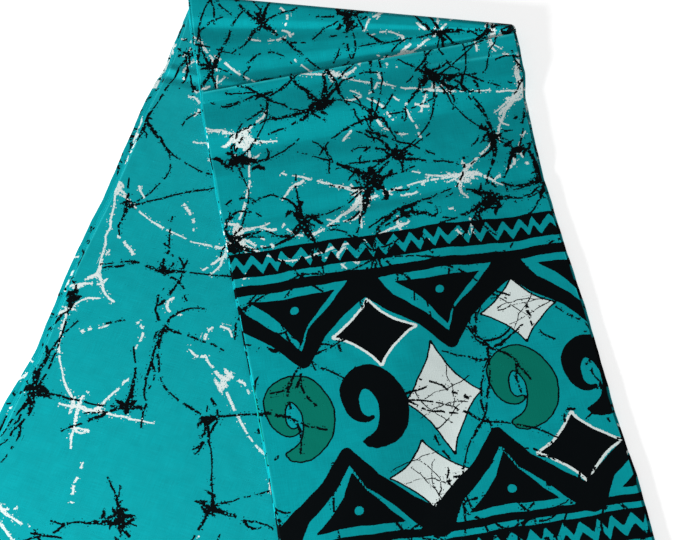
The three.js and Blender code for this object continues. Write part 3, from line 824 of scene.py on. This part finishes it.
def dots(size, radius):
    """Round specks on the flat cloth, each in a cell of a size in millimetres."""
    made = node("ShaderNodeTexVoronoi", flat_cloth, voronoi_dimensions="2D", feature="F1")
    made.inputs["Scale"].default_value = 1 / size
    return maths("LESS_THAN", made.outputs["Distance"], radius / size)


def tint(amount, below, above):
    """One colour laid over another."""
    made = node("ShaderNodeMix", data_type="RGBA")
    tree.links.new(amount, made.inputs[0])
    for socket, value in ((made.inputs[6], below), (made.inputs[7], above)):
        if isinstance(value, bpy.types.NodeSocket):
            tree.links.new(value, socket)
        else:
            socket.default_value = (*value, 1)
    return made.outputs[2]


flat_cloth = node("ShaderNodeAttribute", attribute_name="cloth").outputs["Vector"]


def yarns(across, along):
    """Uneven yarns, their width across and their length along in millimetres."""
    drawn = node("ShaderNodeVectorMath", flat_cloth, (1 / across, 1 / along, 0),
                 operation="MULTIPLY")
    made = node("ShaderNodeTexNoise", drawn.outputs[0], noise_dimensions="2D")
    made.inputs["Scale"].default_value = 1
    made.inputs["Detail"].default_value = 1
    return made.outputs[0]


threads = maths("ADD", yarns(0.55, 16), yarns(16, 0.55))
ragged = noise(1.7, 3, 0.7)
edge = maths("MULTIPLY_ADD", ragged, 1.9, 0.05)        # the lines' uneven width
shape_edge = maths("MULTIPLY_ADD", ragged, 1.0, -0.5)  # the shapes' uneven outline


def lines_of(rows):
    """Where the lines of these rows are inked, and where they are near."""
    inked, close = [], []
    for k in rows:
        gauge, near = parts(f"gauge_{k // 3}")[k % 3], parts(f"ink_{k // 3}")[k % 3]
        size = maths("ABSOLUTE", gauge)
        near = maths("GREATER_THAN", near, 0.5)
        inked.append(maths("MULTIPLY", maths("LESS_THAN", size, edge), near))
        close.append(maths("MULTIPLY", maths("LESS_THAN", size, 3.6), near))
    while len(inked) > 1:
        inked = [maths("MAXIMUM", *pair) if len(pair) > 1 else pair[0]
                 for pair in (inked[i:i + 2] for i in range(0, len(inked), 2))]
        close = [maths("MAXIMUM", *pair) if len(pair) > 1 else pair[0]
                 for pair in (close[i:i + 2] for i in range(0, len(close), 2))]
    return inked[0], close[0]


black_line, black_near = lines_of(range(BLACK_ROWS))
white_line, white_near = lines_of(range(BLACK_ROWS, BLACK_ROWS + WHITE_ROWS))
specks = dots(4.4, 0.55)
black_shape, black_blot, white_blot = parts("black_and_blots")
blot_edge = maths("MULTIPLY_ADD", ragged, 3.0, -1.5)
black_line = maths("MULTIPLY", black_line, maths("SUBTRACT", 1, dots(4.2, 0.66)))
black_line = maths("MAXIMUM", black_line, maths("LESS_THAN", black_blot, blot_edge))
black_line = maths("MAXIMUM", black_line, maths("MULTIPLY", black_near, specks))
white_line = maths("MAXIMUM", white_line, maths("LESS_THAN", white_blot, blot_edge))
white_line = maths("MULTIPLY", white_line, maths("SUBTRACT", 1, dots(2.6, 0.36)))
white_line = maths("MAXIMUM", white_line, maths("MULTIPLY", white_near, dots(4.3, 0.5)))
white_shape, green_shape, rimmed_shape = parts("shapes")
white_area = maths("LESS_THAN", white_shape, shape_edge)
paler = maths("MINIMUM", white_shape, green_shape)
outline = maths("MULTIPLY", maths("LESS_THAN", paler, maths("ADD", shape_edge, 1.4)),
                maths("GREATER_THAN", paler, shape_edge))
rim = maths("LESS_THAN", rimmed_shape, maths("MULTIPLY_ADD", ragged, 2.0, 1.1))
green_area = maths("LESS_THAN", green_shape, shape_edge)
black_area = maths("MAXIMUM", maths("LESS_THAN", black_shape, shape_edge), outline)

TEAL, WHITE = (0.0, 0.335, 0.375), (0.76, 0.86, 0.84)
GREEN, BLACK = (0.0, 0.185, 0.133), (0.0, 0.0014, 0.0022)
# Pale teal for wear and painted light, dark teal for painted shade.
PALE_WEAR_AND_LIGHT, PAINTED_CREASE_SHADE = (0.03, 0.68, 0.73), (0.0, 0.07, 0.08)
shade = maths("MULTIPLY_ADD", threads, 0.8, maths("MULTIPLY_ADD", noise(14, 3), 0.7, -0.65))
ground = tint(shade, tuple(v * 0.86 for v in TEAL), tuple(v * 1.14 for v in TEAL))
# Wear and painted light: paler for rubbed dye, painted highlights and the lower leg's painted light.
rubbed_and_painted_light = maths("MULTIPLY", parts("cloth")[2], maths("MULTIPLY_ADD", noise(9, 2), 0.8, 0.45))
ground = tint(rubbed_and_painted_light, ground, PALE_WEAR_AND_LIGHT)
# Painted shade: darker in the creases between the hidden folds and under the upper leg's left fold.
ground = tint(maths("MULTIPLY", parts("cloth")[2], -0.6), ground, PAINTED_CREASE_SHADE)
printed = tint(maths("MAXIMUM", maths("MAXIMUM", white_line, white_area), rim), ground, WHITE)
printed = tint(green_area, printed, GREEN)
printed = tint(maths("MAXIMUM", black_area, black_line), printed, BLACK)
tree.links.new(printed, shader.inputs["Base Color"])

bump = node("ShaderNodeBump")
bump.inputs["Strength"].default_value = 0.12
bump.inputs["Distance"].default_value = 0.0003
tree.links.new(threads, bump.inputs["Height"])
tree.links.new(bump.outputs[0], shader.inputs["Normal"])
tree.links.new(maths("MULTIPLY_ADD", noise(9, 2), 0.16, 0.55), shader.inputs["Roughness"])
shader.inputs["Specular IOR Level"].default_value = 0.08
for piece in (stack, lower, upper):
    piece.data.materials.append(cotton)

# The table: a plain pale surface under the cloth.
bpy.ops.mesh.primitive_plane_add(size=6.0, location=(0, 0, 0))
table = bpy.context.object
table.name = "table"
pale = bpy.data.materials.new("pale table")
pale.use_nodes = True
surface = pale.node_tree.nodes["Principled BSDF"].inputs
surface["Base Color"].default_value = (0.9, 0.9, 0.9, 1)
surface["Roughness"].default_value = 0.8
surface["Emission Color"].default_value = (1, 1, 1, 1)
surface["Emission Strength"].default_value = 0.62
table.data.materials.append(pale)

# Light: one small window, low at the front left, in a pale room.
LIGHT_PLACE, LIGHT_AIM = (-1.28, -1.22, 0.45), (-0.1, 0.05, 0)
lamp = bpy.data.lights.new("window", "AREA")
lamp.shape, lamp.size, lamp.energy = "SQUARE", 0.3, 73
light = bpy.data.objects.new("window", lamp)
light.location = LIGHT_PLACE
light.rotation_mode = "QUATERNION"
towards = Vector(np.array(LIGHT_AIM, float) - np.array(LIGHT_PLACE, float))
light.rotation_quaternion = towards.to_track_quat("-Z", "Y")
bpy.context.scene.collection.objects.link(light)
world = bpy.context.scene.world or bpy.data.worlds.new("world")
bpy.context.scene.world = world
world.use_nodes = True
world.node_tree.nodes["Background"].inputs["Color"].default_value = (1, 1, 1, 1)
world.node_tree.nodes["Background"].inputs["Strength"].default_value = 0.30
bpy.context.scene.view_settings.view_transform = "Standard"

# Camera: from the front and 58 degrees up, as the photograph was taken.
PHOTO_WIDTH, FOCAL = 680, 2094.0   # in pixels
SENSOR_WIDTH = 36.0
ELEVATION, DISTANCE = 58, 1.727    # degrees above the table, metres away
LOOKED_AT = (0.029507, 0.020891)
camera_data = bpy.data.cameras.new("camera")
camera_data.sensor_width = SENSOR_WIDTH
camera_data.lens = FOCAL * SENSOR_WIDTH / PHOTO_WIDTH
camera = bpy.data.objects.new("camera", camera_data)
bpy.context.scene.collection.objects.link(camera)
elevation = math.radians(ELEVATION)
camera.location = (LOOKED_AT[0], LOOKED_AT[1] - math.cos(elevation) * DISTANCE,
                   math.sin(elevation) * DISTANCE)
camera.rotation_euler = (math.radians(90 - ELEVATION), 0, 0)
bpy.context.scene.camera = camera
